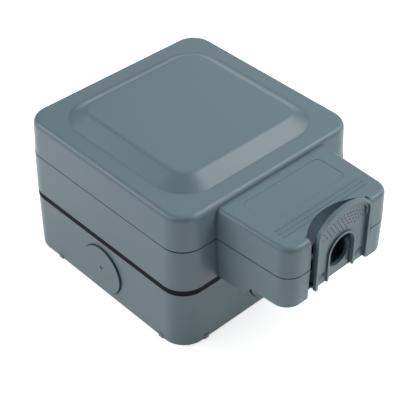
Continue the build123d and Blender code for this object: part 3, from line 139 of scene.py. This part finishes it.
place = tree.nodes.new("ShaderNodeTexCoord")
away_from_spur = tree.nodes.new("ShaderNodeVectorMath")
away_from_spur.operation = "LENGTH"
tree.links.new(place.outputs["Object"], away_from_spur.inputs[0])
glow_range = tree.nodes.new("ShaderNodeMapRange")
glow_range.inputs["From Min"].default_value = glow_starts
glow_range.inputs["From Max"].default_value = glow_ends
glow_range.inputs["To Min"].default_value = near_glow
glow_range.inputs["To Max"].default_value = far_glow
tree.links.new(away_from_spur.outputs["Value"], glow_range.inputs["Value"])
glow_level = tree.nodes.new("ShaderNodeMath")
glow_level.operation = "MULTIPLY"
tree.links.new(seen_through.outputs[0], glow_level.inputs[0])
tree.links.new(glow_range.outputs["Result"], glow_level.inputs[1])
tree.links.new(glow_level.outputs[0], glow.inputs["Strength"])

both = tree.nodes.new("ShaderNodeAddShader")
tree.links.new(matt.outputs[0], both.inputs[0])
tree.links.new(glow.outputs[0], both.inputs[1])
floor_output = tree.nodes.new("ShaderNodeOutputMaterial")
tree.links.new(both.outputs[0], floor_output.inputs["Surface"])
floor_mesh.materials.append(floor_finish)
print("floor glow:", near_glow, "at", glow_starts, "m,", far_glow, "from", glow_ends, "m")

# %% [markdown]
# In the photograph the left faces are the lightest, the top a little darker, and the faces
# beside the snout the darkest, and a long highlight lies on the slope of the pad. A mirror
# in the place of that slope would show what stands high on the right, so the strongest
# lamp stands there. The next two light the left faces from the back and the side, and
# three weaker ones fill the faces that look to the right, to the front and to the back.
# Wide lamps give soft edges to every shadow, as in a studio tent.

# %% Lamps
lamp_distance = 1.1
lamp_width = 0.6


def soft_lamp(name, direction, power):
    """A square area lamp that faces the spur from the given direction."""
    lamp_data = bpy.data.lights.new(name, "AREA")
    lamp_data.shape = "SQUARE"
    lamp_data.size = lamp_width
    lamp_data.energy = power
    lamp = bpy.data.objects.new(name, lamp_data)
    bpy.context.scene.collection.objects.link(lamp)
    away = Vector(direction).normalized()
    lamp.location = aim_point + lamp_distance * away
    lamp.rotation_euler = away.to_track_quat("Z", "Y").to_euler()
    return lamp


lamps = (
    soft_lamp("key lamp", (0.53, -0.25, 0.80), 6.4),
    soft_lamp("back left lamp", (-0.6, 0.8, 0.6), 4.6),
    soft_lamp("left lamp", (-1.0, 0.25, 0.75), 2.9),
    soft_lamp("right lamp", (1.0, -0.2, 0.5), 2.4),
    soft_lamp("front lamp", (0.4, -0.9, 0.6), 2.0),
    soft_lamp("back right lamp", (0.8, 0.6, 0.7), 0.9),
)
print("lamps:", {lamp.name: round(lamp.data.energy, 1) for lamp in lamps})

# %% [markdown]
# The world round the studio is white where the camera looks at it, and almost dark for
# every other ray, so that it doesn't wash out the shadows. The Standard view transform
# shows each colour about as it is written.

# %% Sky
sky_strength = 0.02
seen_sky_strength = 1.0

sky = bpy.data.worlds.new("studio")
bpy.context.scene.world = sky
sky.use_nodes = True
tree = sky.node_tree
tree.nodes.clear()
backdrop = tree.nodes.new("ShaderNodeBackground")
backdrop.inputs["Color"].default_value = white
ray = tree.nodes.new("ShaderNodeLightPath")
sky_level = tree.nodes.new("ShaderNodeMix")
sky_level.data_type = "FLOAT"
sky_level.inputs["A"].default_value = sky_strength
sky_level.inputs["B"].default_value = seen_sky_strength
tree.links.new(ray.outputs["Is Camera Ray"], sky_level.inputs["Factor"])
tree.links.new(sky_level.outputs["Result"], backdrop.inputs["Strength"])
sky_output = tree.nodes.new("ShaderNodeOutputWorld")
tree.links.new(backdrop.outputs[0], sky_output.inputs["Surface"])
bpy.context.scene.view_settings.view_transform = "Standard"
print("sky:", sky_strength, "on the spur,", seen_sky_strength, "for the camera")

# %% [markdown]
# Most of the spur is moulded plastic. Little light gets where two faces meet, and that shade
# is painted into the colour. It could be painted by hand, but an Ambient Occlusion node finds
# every seam and inner corner by itself. With a reach of a millimetre and a half, it darkens
# the colour just there.

# %% Colour with painted shade in corners
corner_reach = 0.0015
shading_samples = 6


def colour_with_painted_shade(tree, surface, colour, painted_shade_level):
    """Paints shade into the colour in corners. painted_shade_level is the share of the colour
    that is left there.
    """
    corners = tree.nodes.new("ShaderNodeAmbientOcclusion")
    corners.samples = shading_samples
    corners.inputs["Distance"].default_value = corner_reach
    # Painted shade: a darker copy of the colour is mixed in wherever the occlusion finds a
    # corner.
    shaded_colour = tree.nodes.new("ShaderNodeMix")
    shaded_colour.data_type = "RGBA"
    shaded_colour.inputs["A"].default_value = (*(painted_shade_level * channel for channel in colour), 1.0)
    shaded_colour.inputs["B"].default_value = (*colour, 1.0)
    tree.links.new(corners.outputs["AO"], shaded_colour.inputs["Factor"])
    tree.links.new(shaded_colour.outputs["Result"], surface.inputs["Base Color"])


print("corners darken within", corner_reach, "m")

# %% [markdown]
# A mould that has been spark-eroded leaves a very fine grain, so the plastic is satin:
# light slides over it without a sharp image. A noise texture through a Bump node gives
# that grain. A Bevel node bends the normals next to an edge, so that every moulded edge
# catches a thin line of light.

# %% Grain and edges
grain_detail = 2.0
edge_radius = 0.0002


def grain_and_edges(tree, surface, place, grain, depth):
    """A fine grain over softened edges. grain is in bumps per metre."""
    grain_noise = tree.nodes.new("ShaderNodeTexNoise")
    grain_noise.inputs["Scale"].default_value = grain
    grain_noise.inputs["Detail"].default_value = grain_detail
    tree.links.new(place.outputs["Object"], grain_noise.inputs["Vector"])
    rounded = tree.nodes.new("ShaderNodeBevel")
    rounded.samples = shading_samples
    rounded.inputs["Radius"].default_value = edge_radius
    bump = tree.nodes.new("ShaderNodeBump")
    bump.inputs["Distance"].default_value = depth
    tree.links.new(grain_noise.outputs["Fac"], bump.inputs["Height"])
    tree.links.new(rounded.outputs["Normal"], bump.inputs["Normal"])
    tree.links.new(bump.outputs["Normal"], surface.inputs["Normal"])


print("edges catch light within", edge_radius, "m")

# %% [markdown]
# A second, slower noise makes the roughness wander a little, as handling and the flow of
# the plastic do. A Map Range node turns the middle of the noise into a narrow band round
# the wanted roughness.

# %% Roughness that wanders
flow_scale = 60.0
flow_detail = 3.0
flow_low, flow_high = 0.3, 0.7
roughness_swing = 0.03


def wandering_roughness(tree, surface, place, roughness):
    """Lets the roughness vary slowly over the surface."""
    flow = tree.nodes.new("ShaderNodeTexNoise")
    flow.inputs["Scale"].default_value = flow_scale
    flow.inputs["Detail"].default_value = flow_detail
    tree.links.new(place.outputs["Object"], flow.inputs["Vector"])
    spread = tree.nodes.new("ShaderNodeMapRange")
    spread.inputs["From Min"].default_value = flow_low
    spread.inputs["From Max"].default_value = flow_high
    spread.inputs["To Min"].default_value = roughness - roughness_swing
    spread.inputs["To Max"].default_value = roughness + roughness_swing
    tree.links.new(flow.outputs["Fac"], spread.inputs["Value"])
    tree.links.new(spread.outputs["Result"], surface.inputs["Roughness"])


print("roughness wanders by", roughness_swing)

# %% [markdown]
# The three helpers together make a moulded finish. The case is blue-grey, the seals are
# black rubber with little shine, the switch module is white and smooth, and its housing,
# which nobody sees once the module is mounted, is dark and rougher.

# %% Plastics and rubber


def moulded(name, colour, roughness, grain, depth, specular=0.5, painted_shade_level=0.15):
    """A moulded plastic, rubber or ceramic, with a fine grain and painted shade in corners.
    """
    finish = bpy.data.materials.new(name)
    finish.use_nodes = True
    tree = finish.node_tree
    surface = tree.nodes["Principled BSDF"]
    surface.inputs["Specular IOR Level"].default_value = specular
    place = tree.nodes.new("ShaderNodeTexCoord")
    # Painted shade in the corners of the plastic.
    colour_with_painted_shade(tree, surface, colour, painted_shade_level)
    grain_and_edges(tree, surface, place, grain, depth)
    wandering_roughness(tree, surface, place, roughness)
    return finish


def dress(finish, *names):
    """Gives one finish to the named pieces of the part."""
    for name in names:
        mesh = node[name].data
        mesh.materials.clear()
        mesh.materials.append(finish)


case_plastic = moulded(
    "blue-grey plastic", (0.140, 0.214, 0.240), roughness=0.38, grain=2600.0, depth=0.00002
)
seal_rubber = moulded(
    "black rubber",
    (0.006, 0.008, 0.009),
    roughness=0.7,
    grain=1800.0,
    depth=0.00003,
    specular=0.12,
)
white_plastic = moulded(
    "white switch plastic", (0.80, 0.80, 0.78), roughness=0.25, grain=900.0, depth=0.000004
)
dark_plastic = moulded(
    "dark housing plastic",
    (0.045, 0.048, 0.052),
    roughness=0.45,
    grain=2200.0,
    depth=0.00002,
)
dress(case_plastic, "rear_box", "front_frame", "lid", "latch", "flex_clamp")
dress(seal_rubber, "box_gasket", "lid_seal", "screw_seals", "module_gasket")
dress(white_plastic, "module_faceplate", "switch_rocker", "fuse_carrier")
dress(dark_plastic, "module_housing", "switch_plungers")
print("plastics:", case_plastic.name, seal_rubber.name, white_plastic.name, dark_plastic.name)

# %% [markdown]
# Screws, springs and terminals are metal. Turned and plated parts have faint rings or
# scratches, which a stretched noise gives: it is fine along two axes and long along the
# third. Nickel plate is the smoothest, so each metal gets its own roughness.

# %% Metals
mark_scale = 1000.0
mark_detail = 2.0


def plated(name, colour, roughness, stretch, depth):
    """A metal with fine tool marks that run along the stretched axis."""
    finish = bpy.data.materials.new(name)
    finish.use_nodes = True
    tree = finish.node_tree
    surface = tree.nodes["Principled BSDF"]
    surface.inputs["Base Color"].default_value = (*colour, 1.0)
    surface.inputs["Metallic"].default_value = 1.0
    surface.inputs["Roughness"].default_value = roughness
    place = tree.nodes.new("ShaderNodeTexCoord")
    along = tree.nodes.new("ShaderNodeMapping")
    along.inputs["Scale"].default_value = stretch
    tree.links.new(place.outputs["Object"], along.inputs["Vector"])
    marks = tree.nodes.new("ShaderNodeTexNoise")
    marks.inputs["Scale"].default_value = mark_scale
    marks.inputs["Detail"].default_value = mark_detail
    tree.links.new(along.outputs["Vector"], marks.inputs["Vector"])
    bump = tree.nodes.new("ShaderNodeBump")
    bump.inputs["Distance"].default_value = depth
    tree.links.new(marks.outputs["Fac"], bump.inputs["Height"])
    tree.links.new(bump.outputs["Normal"], surface.inputs["Normal"])
    return finish


long_in_z = (1.0, 1.0, 0.1)
long_in_y = (1.0, 0.1, 1.0)
steel = plated("zinc-plated steel", (0.62, 0.63, 0.65), 0.28, long_in_z, depth=0.000004)
brass = plated("brass", (0.76, 0.58, 0.28), 0.26, long_in_y, depth=0.000006)
nickel = plated("nickel plate", (0.72, 0.70, 0.66), 0.18, long_in_y, depth=0.000002)
dress(steel, "frame_screws", "flex_clamp_screws", "module_screws", "housing_screws")
dress(steel, "hinge_pins", "plunger_springs", "terminal_screws", "box_earth_screw")
dress(brass, "supply_terminals", "load_terminals", "earth_terminals", "box_earth_terminal")
dress(brass, "contact_bridges", "supply_contacts", "pivot_contacts", "earth_link")
dress(nickel, "fuse_clips", "fuse_caps")
print("metals:", steel.name, brass.name, nickel.name)

# %% [markdown]
# The fuse body is glazed ceramic, the neon's window is red and clear enough to show the
# lamp, and the lamp itself is glass. Transmission does the red window: light goes in,
# loses all but its red, and comes back from the lamp.

# %% Ceramic, window and glass


def clear(name, colour, roughness, ior):
    """A see-through plastic or glass."""
    finish = bpy.data.materials.new(name)
    finish.use_nodes = True
    surface = finish.node_tree.nodes["Principled BSDF"]
    surface.inputs["Base Color"].default_value = (*colour, 1.0)
    surface.inputs["Roughness"].default_value = roughness
    surface.inputs["IOR"].default_value = ior
    surface.inputs["Transmission Weight"].default_value = 1.0
    return finish


ceramic = moulded(
    "glazed ceramic", (0.83, 0.80, 0.74), roughness=0.15, grain=500.0, depth=0.000003
)
red_window = clear("red window", (0.75, 0.02, 0.015), roughness=0.08, ior=1.49)
lamp_glass = clear("lamp glass", (0.95, 0.90, 0.84), roughness=0.02, ior=1.50)
dress(ceramic, "fuse_tube")
dress(red_window, "neon_lens")
dress(lamp_glass, "neon_lamp")
print("dressed:", len(node), "nodes")

# %% [markdown]
# Three pieces get a closer shape than their solids. Each starts as a copy of the solid's
# mesh, whose loose triangles are first joined at their corners, because the operators
# that inset and move faces need neighbours that hold together.
#
# Smooth shading bends the light across every edge that isn't marked sharp, so all edges
# past a small angle are marked. Next to a rounded edge it would still bend the light on a
# flat face. A Weighted Normal modifier lets the larger face decide there, so flat faces
# stay flat to the eye.

# %% Copies that can be shaped
weld_distance = 0.000001
smooth_below = math.radians(28.0)
larger_face_only = 100


def joined_copy(name):
    """The mesh of a solid piece with its triangles joined, as a bmesh."""
    form = bmesh.new()
    form.from_mesh(node[name].data)
    bmesh.ops.remove_doubles(form, verts=form.verts, dist=weld_distance)
    return form


def stand_for(form, name, piece_name, body, finish):
    """Makes the shaped copy an object that takes the place of the solid piece."""
    bmesh.ops.recalc_face_normals(form, faces=form.faces)
    for face in form.faces:
        face.smooth = True
    for edge in form.edges:
        edge.smooth = edge.calc_face_angle(math.pi) < smooth_below
    mesh = bpy.data.meshes.new(piece_name)
    form.to_mesh(mesh)
    form.free()
    mesh.materials.append(finish)
    piece = bpy.data.objects.new(piece_name, mesh)
    bpy.context.scene.collection.objects.link(piece)
    even = piece.modifiers.new("even shading", "WEIGHTED_NORMAL")
    even.keep_sharp = True
    even.weight = larger_face_only
    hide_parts(name)
    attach(piece, body)


print("joined within", weld_distance, "m")

# %% [markdown]
# The pad on the lid is a cushion with a straight slope. It rises from the lid at a crisp
# line and bends gently into its flat top, and that straight slope is what carries the
# broad highlight. First we take the old pad off the copy and close the hole with one
# face.

# %% Old pad of the lid
pad_rise = 0.004
pad_search_half = 0.040

lid_form = joined_copy("lid")
lid_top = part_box("lid")[1][2] - pad_rise
old_pad = []
for face in lid_form.faces:
    middle = face.calc_center_median()
    near = max(abs(middle.x), abs(middle.y)) < pad_search_half
    if near and middle.z > lid_top + weld_distance and face.normal.z > 0.0:
        old_pad.append(face)
bmesh.ops.delete(lid_form, geom=old_pad, context="FACES")
pad_edge = [edge for edge in lid_form.edges if edge.is_boundary]
pad_face = bmesh.ops.edgeloop_fill(lid_form, edges=pad_edge)["faces"][0]
if pad_face.normal.z < 0.0:
    pad_face.normal_flip()
print("pad faces taken off:", len(old_pad), "edges round the hole:", len(pad_edge))

# %% [markdown]
# Then we inset that face again and again. Each inset goes in a little and up a little, so
# the steps follow the slope: a narrow flat rim, a tight bend at the foot, one straight
# step, and a wide bend at the crest. A sweep along the outline would do it too, but the
# inset keeps the rounded corners of the pad by itself.

# %% Pad of the lid
pad_flat_rim = 0.0003
pad_tilt = math.radians(29.0)
pad_foot_radius = 0.0006
pad_crest_radius = 0.004
foot_steps = 3
crest_steps = 9

pad_profile = [(pad_flat_rim, 0.0)]
for step in range(foot_steps):
    low, high = (pad_tilt * index / foot_steps for index in (step, step + 1))
    run = pad_foot_radius * (math.sin(high) - math.sin(low))
    pad_profile.append((run, pad_foot_radius * (math.cos(low) - math.cos(high))))
bends = (pad_foot_radius + pad_crest_radius) * (1.0 - math.cos(pad_tilt))
slope_rise = pad_rise - bends
pad_profile.append((slope_rise / math.tan(pad_tilt), slope_rise))
for step in range(crest_steps, 0, -1):
    high, low = (pad_tilt * index / crest_steps for index in (step, step - 1))
    run = pad_crest_radius * (math.sin(high) - math.sin(low))
    pad_profile.append((run, pad_crest_radius * (math.cos(low) - math.cos(high))))
for run, rise in pad_profile:
    bmesh.ops.inset_region(
        lid_form,
        faces=[pad_face],
        thickness=run,
        depth=rise,
        use_even_offset=True,
        use_boundary=True,
    )
stand_for(lid_form, "lid", "lid_with_pad", "lid", case_plastic)
slope_width = sum(run for run, rise in pad_profile)
print("pad slope:", round(slope_width, 5), "m wide,", len(pad_profile), "steps")

# %% [markdown]
# On each side of the rear box a disc marks the knockout for a conduit. On the real box the
# disc stands out only a little, and a narrow groove runs round it, so it shows as a thin
# dark circle. Three helpers prepare that. The first finds the round wall of a disc, the
# second puts a point of a rim on a true circle, and the third pulls a rim into the wall.

# %% Helpers for the knockout discs
box_half = 0.0463
old_rounding = 0.0015
old_disc_radius = 0.0112
disc_middle = 0.0123
new_disc_middle = 0.0127
slack = 0.00001
upright_below = 0.1


def on_wall(face, axis, side):
    """Whether a face is part of the round wall of a disc."""
    if abs(face.normal[axis]) > upright_below:
        return False
    for point in face.verts:
        radius = math.hypot(point.co[1 - axis], point.co.z - disc_middle)
        too_deep = side * point.co[axis] < box_half - old_rounding - slack
        if too_deep or abs(radius - old_disc_radius) > slack:
            return False
    return True


def to_circle(point, axis, radius):
    """Puts a point of a rim on a circle about the new middle of the disc."""
    arm = Vector((point.co[1 - axis], point.co.z - disc_middle)).normalized() * radius
    point.co[1 - axis] = arm.x
    point.co.z = new_disc_middle + arm.y


def draw_rim(form, rim, axis, level):
    """Pulls a rim along an axis to a level and gives the edges of its new end."""
    drawn = bmesh.ops.extrude_edge_only(form, edges=rim)["geom"]
    for item in drawn:
        if isinstance(item, bmesh.types.BMVert):
            item.co[axis] = level
    drawn_edges = [item for item in drawn if isinstance(item, bmesh.types.BMEdge)]
    return [edge for edge in drawn_edges if edge.is_boundary]


print("disc middle moves up by", round(new_disc_middle - disc_middle, 4), "m")

# %% [markdown]
# The wall of each disc is taken off and the disc is drawn in. The two open rims are then
# pulled down into the wall of the box and joined at the bottom with bridge_loops, which
# leaves the groove between them.

# %% Knockout discs of the box
groove_radius = 0.0111
groove_width = 0.0003
groove_depth = 0.0007
old_disc_height = 0.0011
new_disc_height = 0.0008


def cut_groove(form, axis, side):
    """Lowers one disc, cuts the groove round it and gives the points of the groove."""
    disc = {point for point in form.verts if side * point.co[axis] > box_half + slack}
    wall = [face for face in form.faces if on_wall(face, axis, side)]
    outer_points = {point for face in wall for point in face.verts} - disc
    bmesh.ops.delete(form, geom=wall, context="FACES")
    open_edges = [edge for edge in form.edges if edge.is_boundary]
    disc_rim = [edge for edge in open_edges if edge.verts[0] in disc]
    outer_rim = [edge for edge in open_edges if edge.verts[0] in outer_points]
    disc_rim_points = {point for edge in disc_rim for point in edge.verts}
    for point in disc:
        point.co[axis] -= side * (old_disc_height - new_disc_height)
        if point not in disc_rim_points:
            point.co.z += new_disc_middle - disc_middle
    for point in disc_rim_points:
        to_circle(point, axis, groove_radius - groove_width)
    for point in outer_points:
        point.co[axis] = side * box_half
        to_circle(point, axis, groove_radius)
    floor_level = side * (box_half - groove_depth)
    floor_edges = draw_rim(form, disc_rim, axis, floor_level)
    floor_edges += draw_rim(form, outer_rim, axis, floor_level)
    bmesh.ops.bridge_loops(form, edges=floor_edges)
    return outer_points | {point for edge in floor_edges for point in edge.verts}


box_form = joined_copy("rear_box")
groove_points = set()
for axis in (0, 1):
    for side in (-1.0, 1.0):
        groove_points |= cut_groove(box_form, axis, side)
print("grooves cut:", len(groove_points), "points on their rims")

# %% [markdown]
# The rear box meets the wall with a small, tight edge. The solid has a wider rounding
# there, a little above the wall. On the copy, every point of the rounding is drawn
# towards the corner that the faces would make. Seen from above, the box is a square with
# round corners, so a point's distance from the wall of the box is measured from the
# nearest point of a smaller square, the core, whose corners are the middles of the round
# corners.

# %% Rear edge of the box
box_corner = 0.010
core_half = box_half - box_corner
base_height = 0.001
new_base_height = 0.0003
tightening = 0.15


def core_of(point):
    """The point of the core that is nearest, seen from above."""
    flat = (point.co.x, point.co.y)
    return Vector([min(core_half, max(-core_half, value)) for value in flat])


def outward_of(point):
    """The vector from the core to a point, seen from above."""
    return Vector((point.co.x, point.co.y)) - core_of(point)


moved = 0
for point in box_form.verts:
    height = point.co.z - base_height
    outward = outward_of(point)
    reach = outward.length
    on_edge_level = -slack <= height <= old_rounding + slack
    if point in groove_points or not on_edge_level or reach > box_corner + slack:
        continue
    if reach > box_corner - old_rounding - slack:
        new_reach = box_corner - tightening * (box_corner - reach)
        point.co.x, point.co.y = core_of(point) + outward * (new_reach / reach)
    elif height > slack:
        continue
    point.co.z = new_base_height + tightening * height
    moved += 1
print("points of the rear edge moved:", moved)

# %% [markdown]
# The box stands on low feet that reach just past its sides, so they show as small steps
# along the outline. The solid has its feet set in from the edge. Each new foot is a
# cube that is scaled, put in its place and bevelled all round.

# %% Feet of the box
foot_centres = (0.028, -0.034)
foot_across, foot_along, foot_height = 0.0030, 0.0026, 0.0022
foot_overhang = 0.0003
foot_bevel = 0.0003
foot_inset = box_half + foot_overhang - foot_across / 2.0


def add_foot(form, size, place):
    """A block with bevelled edges, of a size and at a place."""
    foot = bmesh.ops.create_cube(form, size=1.0)["verts"]
    bmesh.ops.scale(form, vec=size, verts=foot)
    bmesh.ops.translate(form, vec=place, verts=foot)
    rims = dict.fromkeys(edge for corner in foot for edge in corner.link_edges)
    bmesh.ops.bevel(
        form,
        geom=list(rims),
        offset=foot_bevel,
        affect="EDGES",
        segments=2,
        profile=0.5,
        material=-1,
    )


middle_height = foot_height / 2.0
for side in (-1.0, 1.0):
    for along in foot_centres:
        size = Vector((foot_across, foot_along, foot_height))
        add_foot(box_form, size, Vector((side * foot_inset, along, middle_height)))
        turned_size = Vector((foot_along, foot_across, foot_height))
        add_foot(box_form, turned_size, Vector((along, side * foot_inset, middle_height)))
stand_for(box_form, "rear_box", "box_with_feet", "case", case_plastic)
print("feet:", 4 * len(foot_centres))

# %% [markdown]
# The rubber gasket between the box and the frame is squeezed out a little when the screws
# pull the two together, so from outside it is a black band slightly wider than the gap.
# On the copy, the outer face of the gasket is drawn out just past the walls, and its lower
# rim a little down over the edge of the box.

# %% Lip of the gasket
lip_overhang = 0.00006
lip_drop = 0.0005

gasket_form = joined_copy("box_gasket")
gasket_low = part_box("box_gasket")[0][2]
gasket_reach = max(outward_of(point).length for point in gasket_form.verts)
lip_points = [p for p in gasket_form.verts if outward_of(p).length > gasket_reach - slack]
for point in lip_points:
    outward = outward_of(point)
    grow = outward * ((box_corner + lip_overhang) / outward.length - 1.0)
    point.co.x += grow.x
    point.co.y += grow.y
    if point.co.z < gasket_low + slack:
        point.co.z -= lip_drop
stand_for(gasket_form, "box_gasket", "gasket_with_lip", "case", seal_rubber)
print("lip points:", len(lip_points), "reach was", round(gasket_reach, 5))
